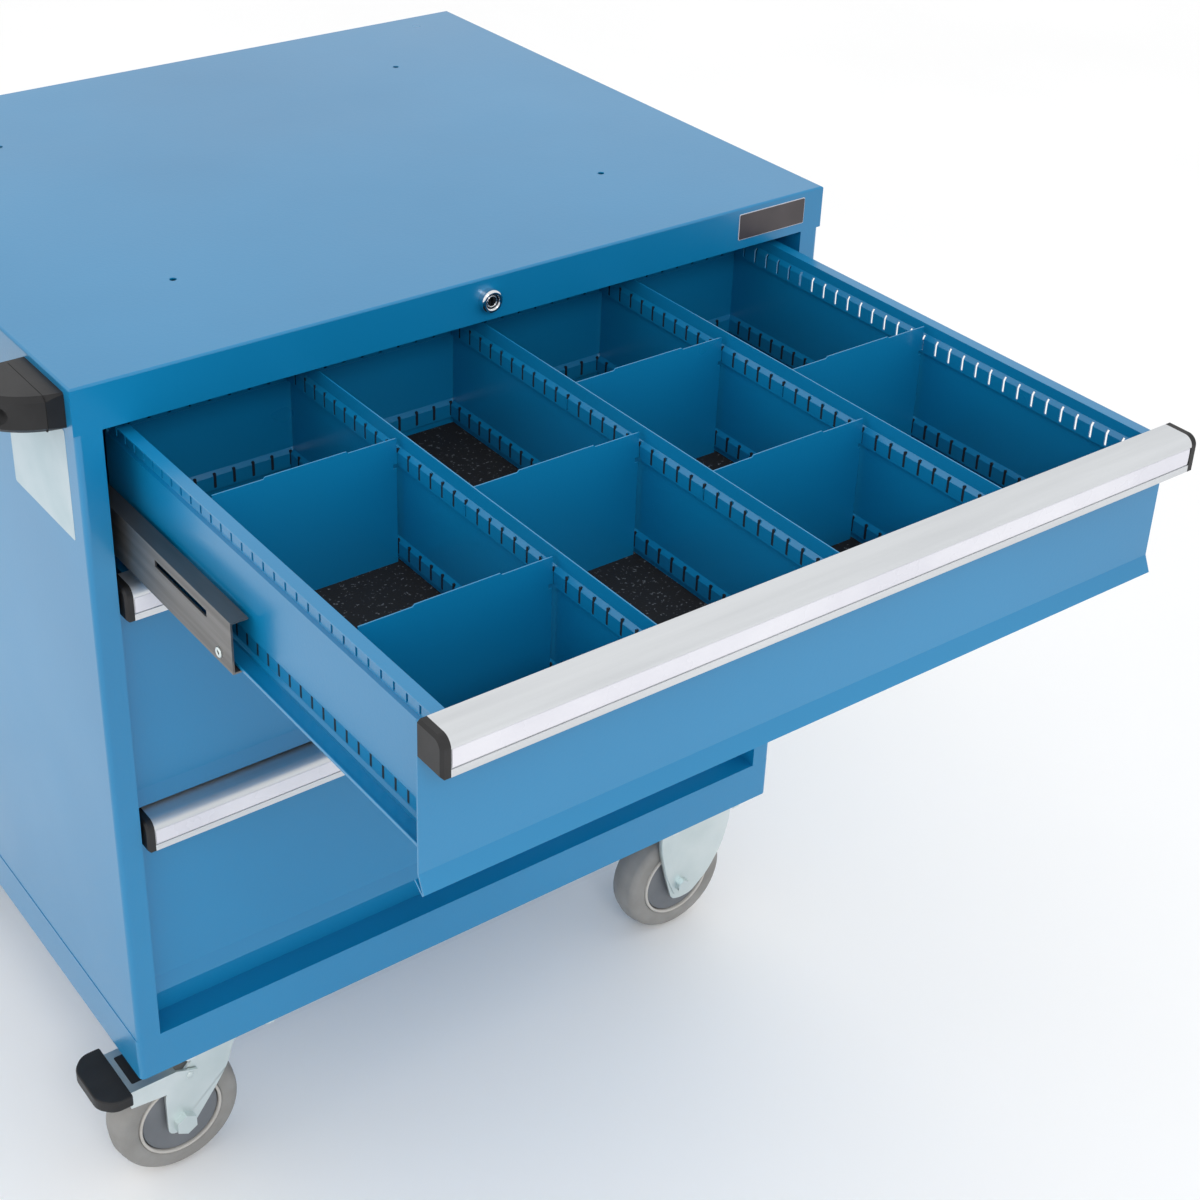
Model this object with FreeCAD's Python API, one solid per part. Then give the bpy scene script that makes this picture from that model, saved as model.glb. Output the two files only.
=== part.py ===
import FreeCAD, Part
import math
import os

# Modular drawer cabinet on casters, in millimetres.
# X runs to the right seen from the front, Y runs from the front to the back, Z runs up.
# The origin lies on the floor under the middle of the cabinet.
# The top drawer is drawn pulled out to its stop, the two lower drawers are drawn shut.

# Cabinet body
cabinet_width = 714.0
cabinet_depth = 607.0
opening_height = 593.5
sheet = 1.5
bend = 1.0
hole_gap = 0.3

# Corner posts folded from the side sheets
post_face = 21.0
post_return = 40.0
post_corner = 3.0

# Cap over the body
cap_overhang = 1.5
cap_height = 38.0
cap_hem = 16.0
cap_edge = 2.0
top_hole_spacing_x = 421.6
top_hole_spacing_y = 344.2
top_hole_radius = 3.0
top_hole_setback = 131.2

# Base tray that carries the casters
base_height = 44.0
base_overhang = 0.5
base_sheet = 2.0
base_flange = 60.0
base_corner = 5.0

# Bottom rail and back panel
rail_setback = 26.0
rail_height = 28.5
rail_flange = 20.0
back_flange = 20.0

# Drawers
drawer_setback = 20.0
drawer_travel = 437.0
front_side_gap = 2.6
first_front_gap = 3.5
front_gap = 2.0
front_heights = (131.5, 223.0, 201.0)
lip_height = 14.8
lip_reach = 6.0
lip_edge = 2.0
lip_hem_back = 11.0
lip_hem_rise = 7.0
tray_sheet = 1.2
tray_inner_depth = 471.5
wall_drop = 5.8
wall_flange = 8.6
bead_depth = 2.4
bead_slope = 1.5
bead_shoulder = 4.0
slot_height = 13.2
slot_width = 2.4
slot_margin = 1.0
upper_slot_drop = 10.0
lower_slot_rise = 10.0

# Pattern of the divider slots
side_slot_pitch = 15.05
side_slot_margin = 16.5
side_slot_shift = 2.0
cross_slot_pitch = 17.2
cross_slot_margin = 16.0
partition_slots = (-9, 0, 9)
divider_slots = ((6, 19), (13,), (8, 19), (14,))

# Partitions, dividers and mat of the top drawer
partition_sheet = 1.0
partition_rise = 2.5
divider_sheet = 1.0
divider_step = 1.5
divider_step_share = 0.28
divider_gap = 0.6
tab_length = 2.6
tab_reach = 0.8
tab_gap = 0.5
notch_width = 3.0
notch_height = 4.0
mat_thickness = 2.0
fit_gap = 0.3

# Aluminium handle across each front
handle_depth = 26.0
handle_height = 28.5
handle_wall = 2.4
handle_leg = 14.0
handle_corner = 8.0
handle_end_cap = 6.8
label_drop = 8.0
label_height = 15.0
label_depth = 1.0
cap_piece_edge = 2.0

# Drawer slides
slide_height = 43.0
slide_sheet = 1.5
slide_lift = 1.0
slide_front_setback = 28.5
slide_end_gap = 4.0
slide_space = 25.4
rail_space = 8.0
mid_tip_gap = 1.9
glide_gap = 0.3
glide_length = 44.0
glide_setback = 6.0
slide_window_length = 80.0
slide_window_height = 6.0
slide_window_setback = 36.0
slide_window_rise = 28.0
rail_tip_gap = 1.5
runner_height = 27.0

# Central lock
lock_bezel_radius = 9.5
lock_bezel_reach = 6.5
lock_barrel_radius = 8.5
lock_barrel_length = 20.0
lock_nut_radius = 13.0
lock_nut_thickness = 3.0
lock_plug_radius = 6.0
lock_plug_recess = 0.8
key_slot_width = 1.4
key_slot_height = 7.0
key_slot_depth = 4.0
lock_rod_radius = 4.0
crank_radius = 6.0
crank_thickness = 4.0
crank_pin_radius = 2.0
crank_pin_gap = 0.6
crank_rim = 0.5
lock_bar_half_width = 18.0
lock_bar_sheet = 3.0
lock_bar_distance = 24.0
latch_width = 12.0
latch_sheet = 2.0
latch_hook = 8.5
latch_gap = 1.5
latch_drop = 30.0
guide_sheet = 2.0
guide_half_width = 30.0
guide_ear = 20.0
guide_height = 30.0
guide_spacing = 60.0
guide_stud_half = 3.0
guide_stud_head_half = 6.0
guide_stud_head_thickness = 2.0
running_gap = 0.3

# Push handle on the left side
grip_plate_length = 69.0
grip_height = 29.0
grip_plate_thickness = 14.0
grip_setback = 10.0
grip_drop = 6.0
grip_tube_radius = 12.7
grip_tube_wall = 1.6
grip_tube_offset = 46.0
grip_socket_wall = 3.0
grip_socket_depth = 24.0
grip_neck_length = 4.0
grip_screw_recess = 8.0
grip_screw_depth = 8.0
grip_screw_head_radius = 5.0
grip_screw_head = 5.0
grip_edge = 4.0

# Casters
caster_height = 157.0
caster_front_setback = 46.0
kingpin_inset = 90.0
caster_trail = 45.0
rigid_plate_inset = 74.0
rigid_wheel_shift = 16.0
plate_length = 105.0
plate_width = 85.0
plate_thickness = 3.0
plate_corner = 8.0
plate_bolt_spacing_x = 80.0
plate_bolt_spacing_y = 68.0
plate_bolt_head_radius = 7.5
plate_bolt_head = 5.0
wheel_radius = 62.5
tread_width = 36.0
rim_radius = 41.0
rim_width = 38.0
rim_sides = 24
axle_radius = 5.0
axle_gap = 0.08
fork_sheet = 3.0
fork_gap = 3.5
fork_foot = 10.5
swivel_crown_radius = 33.0
swivel_crown_depth = 16.0
rigid_crown_half = 46.0
rigid_crown_depth = 30.0
race_radius = 27.0
race_height = 8.0
swivel_nut_radius = 11.0
rigid_nut_radius = 7.5
axle_nut_height = 6.5
kingpin_radius = 6.0
kingpin_head_radius = 11.0
kingpin_head_height = 6.0

# Brake lever of the swivel casters
lever_sheet = 2.5
lever_gap = 0.8
lever_top = 129.0
lever_end = 50.0
lever_shoulder = 5.0
lever_skirt = 22.0
lever_window_inset = 8.0
lever_window_reach = 17.0
lever_window_length = 38.0
lever_tongue = 10.0
lever_tongue_half = 20.0
lever_pivot_ahead = 8.0
lever_pivot_drop = 11.0
pedal_length = 70.0
pedal_reach = 30.0
pedal_below = 6.0
pedal_above = 3.5
pedal_corner = 9.0
pedal_edge = 2.0

# Derived planes
half_width = cabinet_width / 2
front_y = -cabinet_depth / 2
back_y = cabinet_depth / 2
base_bottom = caster_height
base_top = base_bottom + base_height
cap_bottom = base_top + opening_height
cap_top = cap_bottom + cap_height
post_inner = half_width - post_face
cap_half_width = half_width + cap_overhang
panel_y = front_y + drawer_setback
panel_half_width = post_inner - front_side_gap
tray_half_width = post_inner - slide_space
mid_web_half = post_inner - rail_space
tray_front_y = panel_y + sheet
tray_inner_back_y = tray_front_y + tray_inner_depth
tray_back_y = tray_inner_back_y + tray_sheet
tray_inner_half = tray_half_width - tray_sheet
bead_inner_half = tray_inner_half - bead_depth
lock_z = cap_bottom + cap_height / 2
lock_bar_y = tray_back_y + lock_bar_distance
crank_swing = crank_radius * math.sin(math.radians(45))
lock_travel = 2 * crank_swing
kingpin_x = kingpin_inset - half_width
rigid_plate_x = half_width - rigid_plate_inset
rigid_wheel_x = rigid_plate_x - rigid_wheel_shift
caster_y_front = front_y + caster_front_setback
caster_y_back = back_y - caster_front_setback
fork_half_gap = tread_width / 2 + fork_gap
fork_half_width = fork_half_gap + fork_sheet
swivel_crown_top = base_bottom - plate_thickness - race_height - running_gap

X_AXIS = FreeCAD.Vector(1, 0, 0)
Y_AXIS = FreeCAD.Vector(0, 1, 0)
Z_AXIS = FreeCAD.Vector(0, 0, 1)
ORIGIN = FreeCAD.Vector(0, 0, 0)

# A flat outline is drawn in one of these planes: its two numbers, then its distance from the origin.
PLANES = {
    "xz": (lambda a, b, c: FreeCAD.Vector(a, c, b), Y_AXIS),
    "yz": (lambda a, b, c: FreeCAD.Vector(c, a, b), X_AXIS),
    "xy": (lambda a, b, c: FreeCAD.Vector(a, b, c), Z_AXIS),
}


def box(x0, x1, y0, y1, z0, z1):
    return Part.makeBox(x1 - x0, y1 - y0, z1 - z0, FreeCAD.Vector(x0, y0, z0))


def rod(x, y, z, axis, radius, length):
    return Part.makeCylinder(radius, length, FreeCAD.Vector(x, y, z), axis)


def corner_arc(before, corner, after, radius):
    """Tangent points and middle point of a round corner."""
    back = (before - corner).normalize()
    ahead = (after - corner).normalize()
    half = back.getAngle(ahead) / 2
    reach = radius / math.tan(half)
    middle_way = (back + ahead).normalize()
    middle = corner + middle_way * (radius / math.sin(half) - radius)
    return corner + back * reach, middle, corner + ahead * reach


def outline_face(corners, plane, level):
    """Closed flat face from (a, b, corner radius) points."""
    place = PLANES[plane][0]
    points = [place(a, b, level) for a, b, radius in corners]
    starts = []
    arcs = []
    for index, (a, b, radius) in enumerate(corners):
        if radius > 0:
            before = points[index - 1]
            after = points[(index + 1) % len(points)]
            first, middle, last = corner_arc(before, points[index], after, radius)
            arcs.append(Part.Arc(first, middle, last).toShape())
            starts.append((first, last))
        else:
            arcs.append(None)
            starts.append((points[index], points[index]))
    edges = []
    for index in range(len(corners)):
        if arcs[index]:
            edges.append(arcs[index])
        run_start = starts[index][1]
        run_end = starts[(index + 1) % len(corners)][0]
        if run_start.distanceToPoint(run_end) > 1e-6:
            edges.append(Part.LineSegment(run_start, run_end).toShape())
    return Part.Face(Part.Wire(edges))


def prism(corners, plane, start, length):
    """Solid with the given outline, drawn out along the plane's normal."""
    return outline_face(corners, plane, start).extrude(PLANES[plane][1] * length)


def square_corners(points):
    return [(a, b, 0) for a, b in points]


def folded_corners(path, thickness):
    """Outline of a folded sheet: the path is its outer line, the sheet lies on the path's left.

    Each path point is (a, b) or (a, b, inside bend radius).
    """
    points = [FreeCAD.Vector(p[0], p[1], 0) for p in path]
    bends = [p[2] if len(p) > 2 else 0 for p in path]
    ways = [(points[i + 1] - points[i]).normalize() for i in range(len(points) - 1)]
    lefts = [FreeCAD.Vector(-w.y, w.x, 0) for w in ways]
    outer = []
    inner = []
    for index, point in enumerate(points):
        if index == 0:
            shift = lefts[0] * thickness
            turn = 0
        elif index == len(points) - 1:
            shift = lefts[-1] * thickness
            turn = 0
        else:
            one, two = lefts[index - 1], lefts[index]
            shift = (one + two) * (thickness / (1 + one.dot(two)))
            turn = ways[index - 1].cross(ways[index]).z
        tight = bends[index]
        wide = tight + thickness if tight else 0
        outer.append((point.x, point.y, wide if turn > 0 else tight))
        inner.append((point.x + shift.x, point.y + shift.y, tight if turn > 0 else wide))
    return outer + inner[::-1]


def folded(path, thickness, plane, start, length):
    return prism(folded_corners(path, thickness), plane, start, length)


def mirrored_x(shape):
    return shape.mirror(ORIGIN, X_AXIS)


def mirrored_y(shape):
    return shape.mirror(ORIGIN, Y_AXIS)


def joined(shapes):
    whole = shapes[0].fuse(shapes[1:]) if len(shapes) > 1 else shapes[0]
    return whole.removeSplitter()


def moved(shape, x=0, y=0, z=0):
    copy = shape.copy()
    copy.translate(FreeCAD.Vector(x, y, z))
    return copy


def rounded(shape, radius, wanted):
    """Round the straight edges whose middle point passes the wanted test."""
    edges = [e for e in shape.Edges if wanted(e.CenterOfMass, e)]
    return shape.makeFillet(radius, edges)


def bevelled(shape, size, wanted):
    """Bevel the edges whose middle point passes the wanted test."""
    edges = [e for e in shape.Edges if wanted(e.CenterOfMass, e)]
    return shape.makeChamfer(size, edges)


def save(shapes, name):
    solids = []
    for shape in shapes:
        solids.extend(shape.Solids)
    whole = solids[0] if len(solids) == 1 else Part.makeCompound(solids)
    whole.exportStep("parts/" + name + ".step")


# Body sheets

def side_panel():
    """Right side sheet, folded round into a box post at the front and the back."""
    path = [
        (post_inner, front_y + post_return),
        (post_inner, front_y),
        (half_width, front_y, post_corner),
        (half_width, back_y),
        (post_inner, back_y),
        (post_inner, back_y - post_return),
    ]
    return folded(path, sheet, "xy", base_top, opening_height)


def top_cap():
    """Cap pressed from one sheet, with an inward hem that rests on the side sheets."""
    outer = box(-cap_half_width, cap_half_width, front_y, back_y, cap_bottom, cap_top)
    outer = rounded(outer, cap_edge, lambda middle, edge: middle.z > cap_top - 1)
    inner_half = cap_half_width - sheet
    hollow = box(-inner_half, inner_half, front_y + sheet, back_y - sheet,
                 cap_bottom + sheet, cap_top - sheet)
    open_half = cap_half_width - cap_hem
    mouth = box(-open_half, open_half, front_y + cap_hem, back_y - cap_hem,
                cap_bottom - 1, cap_bottom + sheet + 1)
    cap = outer.cut([hollow, mouth])
    holes = []
    for x in (-top_hole_spacing_x / 2, top_hole_spacing_x / 2):
        for y in (0, top_hole_spacing_y):
            hole_y = front_y + top_hole_setback + y
            holes.append(rod(x, hole_y, cap_top - 2 * sheet, Z_AXIS, top_hole_radius, 3 * sheet))
    holes.append(rod(0, front_y - 1, lock_z, Y_AXIS, lock_barrel_radius + hole_gap, sheet + 2))
    return cap.cut(holes)


def back_panel():
    """Shallow pan riveted between the two back posts."""
    inside = back_y - back_flange
    path = [(post_inner, inside), (post_inner, back_y), (-post_inner, back_y),
            (-post_inner, inside)]
    return folded(path, sheet, "xy", base_top, opening_height)


def floor_panel():
    half = post_inner - sheet - fit_gap
    return box(-half, half, front_y + rail_setback, back_y - sheet, base_top, base_top + sheet)


def bottom_rail():
    """Channel that closes the gap under the lowest drawer."""
    y0 = front_y + rail_setback
    z0 = base_top + sheet
    z1 = base_top + rail_height
    path = [(y0 + rail_flange, z1), (y0, z1), (y0, z0), (y0 + rail_flange, z0)]
    half = post_inner - fit_gap
    return folded(path, sheet, "yz", -half, 2 * half)


def base_tray():
    """Welded tray with a flat bottom for the caster plates and a broad top flange."""
    half = half_width + base_overhang
    outer = box(-half, half, front_y, back_y, base_bottom, base_top)
    outer = rounded(outer, base_corner, lambda middle, edge: abs(middle.x) > half - 1
                    and abs(middle.y) > back_y - 1)
    hollow = box(-half + base_sheet, half - base_sheet, front_y + base_sheet, back_y - base_sheet,
                 base_bottom + base_sheet, base_top - base_sheet)
    mouth = box(-half + base_flange, half - base_flange, front_y + base_flange,
                back_y - base_flange, base_top - base_sheet - 1, base_top + 1)
    return outer.cut([hollow, mouth])


# Drawers: z values of each front, from the top drawer down

def front_levels():
    """(bottom, top) of each front, top drawer first."""
    levels = []
    top = cap_bottom - first_front_gap
    for height in front_heights:
        levels.append((top - height, top))
        top = top - height - front_gap
    return levels


def slot_bands(wall_top, floor_z):
    """(bottom, top) of the upper and the lower row of slots in a tray wall."""
    upper = (wall_top - upper_slot_drop - slot_height, wall_top - upper_slot_drop)
    lower = (floor_z + lower_slot_rise, floor_z + lower_slot_rise + slot_height)
    return upper, lower


def beaded_line(start_z, end_z, bands, plain, pressed):
    """Upright line from start_z down to end_z, stepped to the pressed line at each slot band."""
    line = []
    for low, high in bands:
        line.append((plain, high + slot_margin))
        line.append((pressed, high + slot_margin - bead_shoulder))
        line.append((pressed, low - slot_margin))
        line.append((plain, low - slot_margin - bead_slope))
    return [(plain, start_z)] + line + [(plain, end_z)]


def side_slot_positions():
    middle = (tray_front_y + tray_inner_back_y) / 2
    steps = int((tray_inner_depth - 2 * side_slot_margin) / side_slot_pitch)
    first = middle + side_slot_shift - side_slot_pitch * steps / 2
    return [first + side_slot_pitch * index for index in range(steps + 1)]


def cross_slot_positions():
    reach = int((tray_inner_half - cross_slot_margin) / cross_slot_pitch)
    return [cross_slot_pitch * index for index in range(-reach, reach + 1)]


def tray_slots(bands, x_reach):
    """Cutters for the slots in the two side walls and the back wall."""
    cutters = []
    half = slot_width / 2
    for low, high in bands[:1]:
        for y in side_slot_positions():
            cutters.append(box(-x_reach, -bead_inner_half + 1, y - half, y + half, low, high))
            cutters.append(box(bead_inner_half - 1, x_reach, y - half, y + half, low, high))
        for x in cross_slot_positions():
            cutters.append(box(x - half, x + half, tray_inner_back_y - bead_depth - 1,
                               tray_back_y + 1, low, high))
    return cutters


def drawer_tray(bottom, top, slotted):
    """Tray folded from one sheet, with a beaded back wall and a plain front wall welded in."""
    wall_top = top - wall_drop
    floor_z = bottom + lip_height
    bands = slot_bands(wall_top, floor_z)
    top_line = wall_top - tray_sheet
    outer_bead = tray_half_width - bead_depth
    left = beaded_line(top_line, floor_z, bands, -tray_half_width, -outer_bead)
    right = [(-a, b) for a, b in left][::-1]
    flange_end = tray_half_width + wall_flange
    path = [(-flange_end, top_line)] + left + right + [(flange_end, top_line)]
    length = tray_back_y - tray_front_y - 2 * tray_sheet
    trough = folded(path, tray_sheet, "xz", tray_front_y + tray_sheet, length)
    back = beaded_line(top_line, floor_z, bands, tray_back_y, tray_back_y - bead_depth)[::-1]
    back_path = back + [(tray_back_y + wall_flange, top_line)]
    back_wall = folded(back_path, tray_sheet, "yz", -tray_half_width, 2 * tray_half_width)
    front_wall = box(-tray_half_width, tray_half_width, tray_front_y, tray_front_y + tray_sheet,
                     floor_z, wall_top)
    tray = joined([trough, back_wall, front_wall]).fuse(latch_tab(wall_top))
    if slotted:
        tray = tray.cut(tray_slots(bands, flange_end))
    return tray


def latch_tab(wall_top):
    """Hooked tab on the back wall that the lock bar catches."""
    z1 = wall_top - latch_drop
    z0 = z1 - latch_sheet
    y1 = lock_bar_y + lock_bar_sheet + latch_gap
    root_y = tray_back_y - tray_sheet / 2
    tip_y = y1 + latch_sheet
    corners = square_corners([
        (root_y, z1), (tip_y, z1), (tip_y, z0 - latch_hook), (y1, z0 - latch_hook),
        (y1, z0), (root_y, z0)])
    return prism(corners, "yz", -latch_width / 2, latch_width)


def drawer_front(bottom, top):
    """Front sheet with the forward lip and its hem along the bottom edge."""
    path = [
        (panel_y, top - sheet),
        (panel_y, bottom + lip_height, bend),
        (panel_y - lip_reach, bottom + lip_edge),
        (panel_y - lip_reach + lip_edge, bottom),
        (panel_y - lip_reach + lip_hem_back, bottom + lip_hem_rise),
    ]
    return folded(path, sheet, "yz", -panel_half_width, 2 * panel_half_width)


def handle_bar(top):
    """Extruded handle: back leg on the front sheet, broad top, hanging face with a label channel."""
    face_y = panel_y - handle_depth
    path = [
        (panel_y, top - handle_leg),
        (panel_y, top),
        (face_y, top, handle_corner - handle_wall),
        (face_y, top - handle_height),
    ]
    half = panel_half_width - handle_end_cap
    bar = folded(path, handle_wall, "yz", -half, 2 * half)
    channel = box(-half - 1, half + 1, face_y - 1, face_y + label_depth,
                  top - label_drop - label_height, top - label_drop)
    return bar.cut(channel)


def handle_end(top):
    """Moulded cap that closes the right end of the handle."""
    face_y = panel_y - handle_depth
    inner = panel_half_width - handle_end_cap
    corners = [
        (panel_y, top, 0),
        (face_y, top, handle_corner),
        (face_y, top - handle_height, 0),
        (panel_y, top - handle_height, 0),
    ]
    cap = prism(corners, "yz", inner, handle_end_cap)
    outer_x = panel_half_width
    return bevelled(cap, cap_piece_edge, lambda middle, edge: abs(middle.x - outer_x) < 0.01
                    and middle.y < panel_y - 0.5)


def slide_bottom(bottom):
    return bottom + lip_height + slide_lift


def glide(x0, width, z):
    """Plastic block at the back end of a slide's moving strip, running inside a channel."""
    half = slide_height / 2 - slide_sheet - glide_gap
    y1 = tray_back_y - glide_setback
    return box(x0, x0 + width, y1 - glide_length, y1, z - half, z + half)


def runner(bottom):
    """Strip along the right tray wall with its glide at the back end."""
    z0 = slide_bottom(bottom) + (slide_height - runner_height) / 2
    inner_x = tray_half_width + slide_sheet
    strip = box(tray_half_width, inner_x, tray_front_y, tray_back_y, z0, z0 + runner_height)
    width = mid_web_half - slide_sheet - glide_gap - inner_x
    return joined([strip, glide(inner_x, width, slide_bottom(bottom) + slide_height / 2)])


def mid_slide(bottom):
    """Channel between the cabinet's rail and the drawer's runner, with its glide."""
    z0 = slide_bottom(bottom)
    z1 = z0 + slide_height
    tip = tray_half_width + slide_sheet + mid_tip_gap
    path = [(tip, z0), (mid_web_half, z0), (mid_web_half, z1), (tip, z1)]
    y0 = panel_y + slide_front_setback
    channel = folded(path, slide_sheet, "xz", y0, tray_back_y - y0)
    window_z = z0 + slide_window_rise
    window_y = y0 + slide_window_setback
    window = box(mid_web_half - 2 * slide_sheet, mid_web_half + 1, window_y,
                 window_y + slide_window_length, window_z, window_z + slide_window_height)
    width = post_inner - slide_sheet - glide_gap - mid_web_half
    return joined([channel.cut(window), glide(mid_web_half, width, (z0 + z1) / 2)])


def fixed_rail(bottom):
    """Channel screwed to the right posts."""
    z0 = slide_bottom(bottom)
    z1 = z0 + slide_height
    tip = mid_web_half + rail_tip_gap
    y0 = panel_y + slide_end_gap
    y1 = back_y - back_flange - fit_gap
    path = [(tip, z0), (post_inner, z0), (post_inner, z1), (tip, z1)]
    return folded(path, slide_sheet, "xz", y0, y1 - y0)


# Partitions, dividers and mat of the top drawer

def partition_line(slot_x):
    """X of the partition's plain face, so that its pressed beads meet the cross slots."""
    return slot_x + bead_depth - partition_sheet / 2


def compartment_foot(bottom):
    return bottom + lip_height + tray_sheet + mat_thickness


def partition(slot_x, bottom, top):
    """Beaded and slotted sheet from the front wall to the back wall, tabbed into their slots."""
    x = partition_line(slot_x)
    wall_top = top - wall_drop
    bands = slot_bands(wall_top, bottom + lip_height)
    foot = compartment_foot(bottom)
    line = beaded_line(wall_top + partition_rise, foot, bands, x, x - bead_depth)
    y0 = tray_front_y + tray_sheet + divider_gap
    y1 = tray_inner_back_y - bead_depth - divider_gap
    plate = folded(line, partition_sheet, "xz", y0, y1 - y0)
    low, high = bands[0]
    tab = box(x - bead_depth, x - bead_depth + partition_sheet, y1 - 1, y1 + tab_length,
              low + tab_gap, high - bead_shoulder)
    plate = joined([plate, tab])
    cutters = []
    half = slot_width / 2
    reach = bead_depth + partition_sheet + 1
    for low, high in bands[:1]:
        for y in side_slot_positions():
            cutters.append(box(x - reach, x + reach, y - half, y + half, low, high))
    return plate.cut(cutters)


def divider(left_wall, right_wall, y, bottom, top):
    """Plain cross sheet between two slotted walls, hung in their slots by its tabs.

    Each wall is (nearest face, far face of its slotted bead).
    """
    wall_top = top - wall_drop
    foot = compartment_foot(bottom)
    left = left_wall[0] + divider_gap
    right = right_wall[0] - divider_gap
    span = right - left
    low_top = wall_top - divider_step
    rise_left = left + span * divider_step_share
    rise_right = right - span * divider_step_share
    corners = square_corners([
        (left, foot), (right, foot), (right, low_top), (rise_right + divider_step, low_top),
        (rise_right, wall_top), (rise_left, wall_top), (rise_left - divider_step, low_top),
        (left, low_top)])
    half = divider_sheet / 2
    plate = prism(corners, "xz", y - half, divider_sheet)
    tab_left = left_wall[1] - tab_reach
    tab_right = right_wall[1] + tab_reach
    low, high = slot_bands(wall_top, bottom + lip_height)[0]
    tabs = [box(start, end, y - half, y + half, low + tab_gap, high - bead_shoulder)
            for start, end in ((tab_left, left + 1), (right - 1, tab_right))]
    notch_top = low + tab_gap
    notches = [box(x, x + notch_width, y - 1, y + 1, notch_top - notch_height, notch_top)
               for x in (left, right - notch_width)]
    return joined([plate] + tabs).cut(notches)


def top_drawer_walls(slot_lines):
    """(nearest face, far bead face) of every wall, seen from its right and from its left."""
    wall = (-bead_inner_half, -bead_inner_half - tray_sheet)
    from_right = [wall]
    from_left = []
    for slot_x in slot_lines:
        x = partition_line(slot_x)
        from_right.append((x + partition_sheet, x - bead_depth))
        from_left.append((x - bead_depth, x - bead_depth + partition_sheet))
    from_left.append((-wall[0], -wall[1]))
    return list(zip(from_right, from_left))


def mat(bottom):
    """Rubber mat over the tray floor."""
    z0 = bottom + lip_height + tray_sheet
    half = bead_inner_half - fit_gap
    return box(-half, half, tray_front_y + tray_sheet + fit_gap,
               tray_inner_back_y - bead_depth - fit_gap, z0, z0 + mat_thickness)


# Central lock

def lock_housing():
    """Plated bezel and barrel through the cap's front, with the nut tightened behind it."""
    bezel = rod(0, front_y - lock_bezel_reach, lock_z, Y_AXIS, lock_bezel_radius, lock_bezel_reach)
    barrel = rod(0, front_y - 1, lock_z, Y_AXIS, lock_barrel_radius, lock_barrel_length + 1)
    nut = hexagon(0, lock_z, lock_nut_radius, front_y + sheet, lock_nut_thickness, 0)
    bore = rod(0, front_y - lock_bezel_reach - 1, lock_z, Y_AXIS, lock_plug_radius + axle_gap,
               lock_bezel_reach + lock_barrel_length + 2)
    return joined([bezel, barrel, nut]).cut(bore)


def lock_plug():
    """Key plug with its keyway."""
    y0 = front_y - lock_bezel_reach + lock_plug_recess
    length = lock_bezel_reach + lock_barrel_length - lock_plug_recess
    plug = rod(0, y0, lock_z, Y_AXIS, lock_plug_radius, length)
    keyway = box(-key_slot_width / 2, key_slot_width / 2, y0 - 1, y0 + key_slot_depth,
                 lock_z - key_slot_height / 2, lock_z + key_slot_height / 2)
    return plug.cut(keyway)


def lock_rod():
    """Rod from the plug to the back, ending in the crank arm that lifts the lock bar."""
    y0 = front_y + lock_barrel_length
    crank_y = lock_bar_y - running_gap - crank_thickness
    shaft = rod(0, y0, lock_z, Y_AXIS, lock_rod_radius, crank_y - y0)
    half = lock_rod_radius + crank_rim
    arm = box(-half, crank_radius + half, crank_y, crank_y + crank_thickness, -half, half)
    arm.rotate(ORIGIN, Y_AXIS, 45)
    arm.translate(FreeCAD.Vector(0, 0, lock_z))
    pin = rod(crank_swing, crank_y, lock_z - crank_swing, Y_AXIS, crank_pin_radius,
              crank_thickness + running_gap + lock_bar_sheet + running_gap)
    return joined([shaft, arm, pin])


def lock_bar():
    """Flat bar behind the drawers, with a yoke slot, guide slots and one window per drawer."""
    yoke_half = crank_pin_radius + crank_pin_gap
    yoke_z = lock_z - crank_swing
    levels = front_levels()
    bar_top = lock_z + crank_pin_radius * 2
    bar_bottom = guide_levels()[1] - guide_height / 2 - lock_travel
    corners = square_corners([
        (-lock_bar_half_width, bar_bottom), (lock_bar_half_width, bar_bottom),
        (lock_bar_half_width, bar_top), (-lock_bar_half_width, bar_top)])
    bar = prism(corners, "xz", lock_bar_y, lock_bar_sheet)
    cutters = [box(crank_swing - yoke_half, crank_radius + yoke_half, lock_bar_y - 1,
                   lock_bar_y + lock_bar_sheet + 1, yoke_z - yoke_half, yoke_z + yoke_half)]
    for bottom, top in levels:
        tab_top = top - wall_drop - latch_drop
        hook_low = tab_top - latch_sheet - latch_hook
        half = latch_width / 2 + latch_gap
        cutters.append(box(-half, half, lock_bar_y - 1, lock_bar_y + lock_bar_sheet + 1,
                           hook_low - latch_gap, tab_top + latch_gap))
    slot_half = guide_stud_half + running_gap
    for z in guide_levels():
        cutters.append(box(-slot_half, slot_half, lock_bar_y - 1, lock_bar_y + lock_bar_sheet + 1,
                           z - lock_travel - slot_half, z + slot_half))
    return bar.cut(cutters)


def guide_levels():
    """Heights of the two guide studs."""
    levels = front_levels()
    upper = levels[1][1] - wall_drop - latch_drop + guide_spacing
    lower = levels[2][1] - wall_drop - latch_drop - guide_spacing
    return upper, lower


def lock_guide(z):
    """Hat bracket on the back panel with the headed square stud that guides the lock bar."""
    wall = back_y - sheet
    crown = lock_bar_y + lock_bar_sheet + running_gap + guide_sheet
    side = guide_half_width
    path = [(side + guide_ear, wall), (side, wall), (side, crown),
            (-side, crown), (-side, wall), (-side - guide_ear, wall)]
    hat = folded(path, guide_sheet, "xy", z - guide_height / 2, guide_height)
    head_y = lock_bar_y - running_gap - guide_stud_head_thickness
    broad = guide_stud_head_half
    head = box(-broad, broad, head_y, lock_bar_y - running_gap, z - broad, z + broad)
    slim = guide_stud_half
    stud = box(-slim, slim, head_y, crown, z - slim, z + slim)
    return joined([hat, head, stud])


# Push handle

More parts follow.
